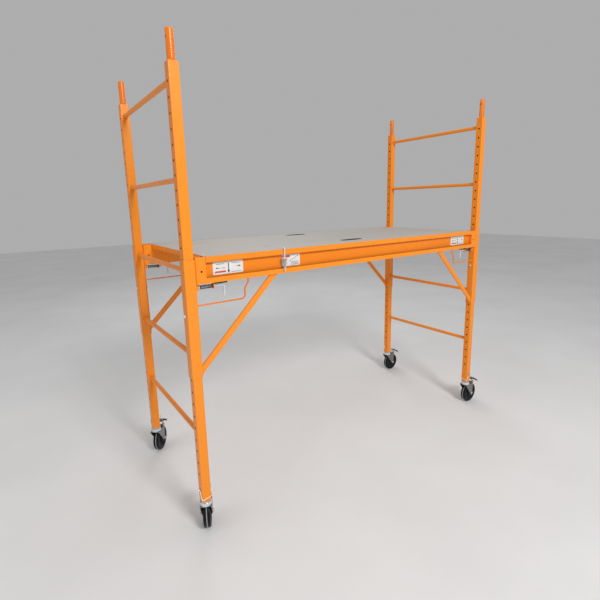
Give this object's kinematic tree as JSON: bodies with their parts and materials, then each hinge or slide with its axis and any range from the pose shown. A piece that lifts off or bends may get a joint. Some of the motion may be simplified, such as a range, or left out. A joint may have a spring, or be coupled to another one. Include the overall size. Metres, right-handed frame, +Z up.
{
  "type": "baker scaffold",
  "caption": "Rolling baker scaffold: two welded ladder end frames, a height-adjustable plywood platform held by spring lock pins, and swivel casters with brakes.",
  "frame": {"origin": "on the floor under the middle of the overall box", "axes": "+X along the platform, +Y from the front rail to the rear rail, +Z up"},
  "size_m": [1.9851, 0.8382, 1.91],
  "materials": {
    "orange_paint": "satin powder coat",
    "zinc_plate": "bright zinc",
    "bright_steel": "bright",
    "black_plastic": "moulded",
    "wheel_rubber": "matte",
    "plywood": "sealed, lightly sanded",
    "label_film": "printed film"
  },
  "bodies": {
    "end_frames": {"front_left_post": "orange_paint", "rear_left_post": "orange_paint", "front_right_post": "orange_paint", "rear_right_post": "orange_paint", "frame_rungs": "orange_paint", "stacking_spigots": "orange_paint", "caster_stems": "zinc_plate"},
    "platform": {"front_rail": "orange_paint", "rear_rail": "orange_paint", "rail_end_boxes": "orange_paint", "front_left_sleeve": "orange_paint", "rear_left_sleeve": "orange_paint", "front_right_sleeve": "orange_paint", "rear_right_sleeve": "orange_paint", "rail_braces": "orange_paint", "pin_guards": "orange_paint", "lock_pin_brackets": "orange_paint", "pin_guide_bars": "black_plastic", "deck_frame": "orange_paint", "deck_panel": "plywood", "deck_bars": "orange_paint", "rail_labels": "label_film", "latch_bracket": "zinc_plate", "latch_spring": "bright_steel", "front_left_lock_spring": "bright_steel", "rear_left_lock_spring": "bright_steel", "front_right_lock_spring": "bright_steel", "rear_right_lock_spring": "bright_steel"},
    "latch_lift": {"latch_washer": "zinc_plate"},
    "latch_hook": {"latch_rod": "bright_steel"},
    "front_left_lock": {"front_left_lock_pin": "bright_steel"},
    "front_left_safety": {"front_left_safety_pin": "bright_steel"},
    "front_left_keeper": {"front_left_caster_pin": "bright_steel"},
    "front_left_swivel": {"front_left_fork": "zinc_plate", "front_left_axle": "bright_steel"},
    "front_left_roller": {"front_left_wheel": "wheel_rubber"},
    "front_left_brake": {"front_left_pedal": "bright_steel"},
    "rear_left_lock": {"rear_left_lock_pin": "bright_steel"},
    "rear_left_safety": {"rear_left_safety_pin": "bright_steel"},
    "rear_left_keeper": {"rear_left_caster_pin": "bright_steel"},
    "rear_left_swivel": {"rear_left_fork": "zinc_plate", "rear_left_axle": "bright_steel"},
    "rear_left_roller": {"rear_left_wheel": "wheel_rubber"},
    "rear_left_brake": {"rear_left_pedal": "bright_steel"},
    "front_right_lock": {"front_right_lock_pin": "bright_steel"},
    "front_right_safety": {"front_right_safety_pin": "bright_steel"},
    "front_right_keeper": {"front_right_caster_pin": "bright_steel"},
    "front_right_swivel": {"front_right_fork": "zinc_plate", "front_right_axle": "bright_steel"},
    "front_right_roller": {"front_right_wheel": "wheel_rubber"},
    "front_right_brake": {"front_right_pedal": "bright_steel"},
    "rear_right_lock": {"rear_right_lock_pin": "bright_steel"},
    "rear_right_safety": {"rear_right_safety_pin": "bright_steel"},
    "rear_right_keeper": {"rear_right_caster_pin": "bright_steel"},
    "rear_right_swivel": {"rear_right_fork": "zinc_plate", "rear_right_axle": "bright_steel"},
    "rear_right_roller": {"rear_right_wheel": "wheel_rubber"},
    "rear_right_brake": {"rear_right_pedal": "bright_steel"}
  },
  "joints": [
    {"name": "platform_lift", "type": "slide", "parent": "end_frames", "child": "platform", "axis": [0, 0, 1], "range_m": [-0.4572, 0.4572]},
    {"name": "front_left_lock_pull", "type": "slide", "parent": "platform", "child": "front_left_lock", "axis": [1, 0, 0], "range_m": [0, 0.02], "stiffness_N_per_m": 400, "springref_m": -0.02, "deforming": ["front_left_lock_spring"]},
    {"name": "rear_left_lock_pull", "type": "slide", "parent": "platform", "child": "rear_left_lock", "axis": [1, 0, 0], "range_m": [0, 0.02], "stiffness_N_per_m": 400, "springref_m": -0.02, "deforming": ["rear_left_lock_spring"]},
    {"name": "front_right_lock_pull", "type": "slide", "parent": "platform", "child": "front_right_lock", "axis": [-1, 0, 0], "range_m": [0, 0.02], "stiffness_N_per_m": 400, "springref_m": -0.02, "deforming": ["front_right_lock_spring"]},
    {"name": "rear_right_lock_pull", "type": "slide", "parent": "platform", "child": "rear_right_lock", "axis": [-1, 0, 0], "range_m": [0, 0.02], "stiffness_N_per_m": 400, "springref_m": -0.02, "deforming": ["rear_right_lock_spring"]},
    {"name": "front_left_safety_pull", "type": "slide", "parent": "platform", "child": "front_left_safety", "axis": [-1, 0, 0], "range_m": [0, 0.056]},
    {"name": "rear_left_safety_pull", "type": "slide", "parent": "platform", "child": "rear_left_safety", "axis": [-1, 0, 0], "range_m": [0, 0.056]},
    {"name": "front_right_safety_pull", "type": "slide", "parent": "platform", "child": "front_right_safety", "axis": [1, 0, 0], "range_m": [0, 0.056]},
    {"name": "rear_right_safety_pull", "type": "slide", "parent": "platform", "child": "rear_right_safety", "axis": [1, 0, 0], "range_m": [0, 0.056]},
    {"name": "latch_raise", "type": "slide", "parent": "platform", "child": "latch_lift", "axis": [0, 0, 1], "range_m": [0, 0.014], "stiffness_N_per_m": 300, "springref_m": -0.01, "deforming": ["latch_spring"]},
    {"name": "latch_turn", "type": "hinge", "parent": "latch_lift", "child": "latch_hook", "pos_m": [-0.5545, -0.41309, 1.0772], "axis": [0, 0, 1], "range_deg": [-110, 110]},
    {"name": "front_left_swivel_turn", "type": "hinge", "parent": "end_frames", "child": "front_left_swivel", "pos_m": [-0.9615, -0.38659, 0.132], "axis": [0, 0, 1], "continuous": true},
    {"name": "rear_left_swivel_turn", "type": "hinge", "parent": "end_frames", "child": "rear_left_swivel", "pos_m": [-0.9615, 0.31141, 0.132], "axis": [0, 0, 1], "continuous": true},
    {"name": "front_right_swivel_turn", "type": "hinge", "parent": "end_frames", "child": "front_right_swivel", "pos_m": [0.8725, -0.38659, 0.132], "axis": [0, 0, 1], "continuous": true},
    {"name": "rear_right_swivel_turn", "type": "hinge", "parent": "end_frames", "child": "rear_right_swivel", "pos_m": [0.8725, 0.31141, 0.132], "axis": [0, 0, 1], "continuous": true},
    {"name": "front_left_wheel_spin", "type": "hinge", "parent": "front_left_swivel", "child": "front_left_roller", "pos_m": [-0.94604, -0.35188, 0.0625], "axis": [-0.9135, 0.4067, 0], "continuous": true},
    {"name": "rear_left_wheel_spin", "type": "hinge", "parent": "rear_left_swivel", "child": "rear_left_roller", "pos_m": [-0.9381, 0.34135, 0.0625], "axis": [-0.788, 0.6157, 0], "continuous": true},
    {"name": "front_right_wheel_spin", "type": "hinge", "parent": "front_right_swivel", "child": "front_right_roller", "pos_m": [0.9105, -0.38659, 0.0625], "axis": [0, 1, 0], "continuous": true},
    {"name": "rear_right_wheel_spin", "type": "hinge", "parent": "rear_right_swivel", "child": "rear_right_roller", "pos_m": [0.91048, 0.31273, 0.0625], "axis": [-0.0349, 0.9994, 0], "continuous": true},
    {"name": "front_left_brake_press", "type": "hinge", "parent": "front_left_swivel", "child": "front_left_brake", "pos_m": [-0.94279, -0.34457, 0.138], "axis": [-0.9135, 0.4067, 0], "range_deg": [0, 15]},
    {"name": "rear_left_brake_press", "type": "hinge", "parent": "rear_left_swivel", "child": "rear_left_brake", "pos_m": [-0.93318, 0.34766, 0.138], "axis": [-0.788, 0.6157, 0], "range_deg": [0, 15]},
    {"name": "front_right_brake_press", "type": "hinge", "parent": "front_right_swivel", "child": "front_right_brake", "pos_m": [0.9185, -0.38659, 0.138], "axis": [0, 1, 0], "range_deg": [0, 15]},
    {"name": "rear_right_brake_press", "type": "hinge", "parent": "rear_right_swivel", "child": "rear_right_brake", "pos_m": [0.91847, 0.31301, 0.138], "axis": [-0.0349, 0.9994, 0], "range_deg": [0, 15]},
    {"name": "front_left_bail_swing", "type": "hinge", "parent": "end_frames", "child": "front_left_keeper", "pos_m": [-0.9615, -0.38659, 0.202], "axis": [-1, 0, 0], "range_deg": [0, 90]},
    {"name": "rear_left_bail_swing", "type": "hinge", "parent": "end_frames", "child": "rear_left_keeper", "pos_m": [-0.9615, 0.31141, 0.202], "axis": [1, 0, 0], "range_deg": [0, 90]},
    {"name": "front_right_bail_swing", "type": "hinge", "parent": "end_frames", "child": "front_right_keeper", "pos_m": [0.8725, -0.38659, 0.202], "axis": [0, 1, 0], "range_deg": [0, 90]},
    {"name": "rear_right_bail_swing", "type": "hinge", "parent": "end_frames", "child": "rear_right_keeper", "pos_m": [0.8725, 0.31141, 0.202], "axis": [1, 0, 0], "range_deg": [0, 90]}
  ]
}
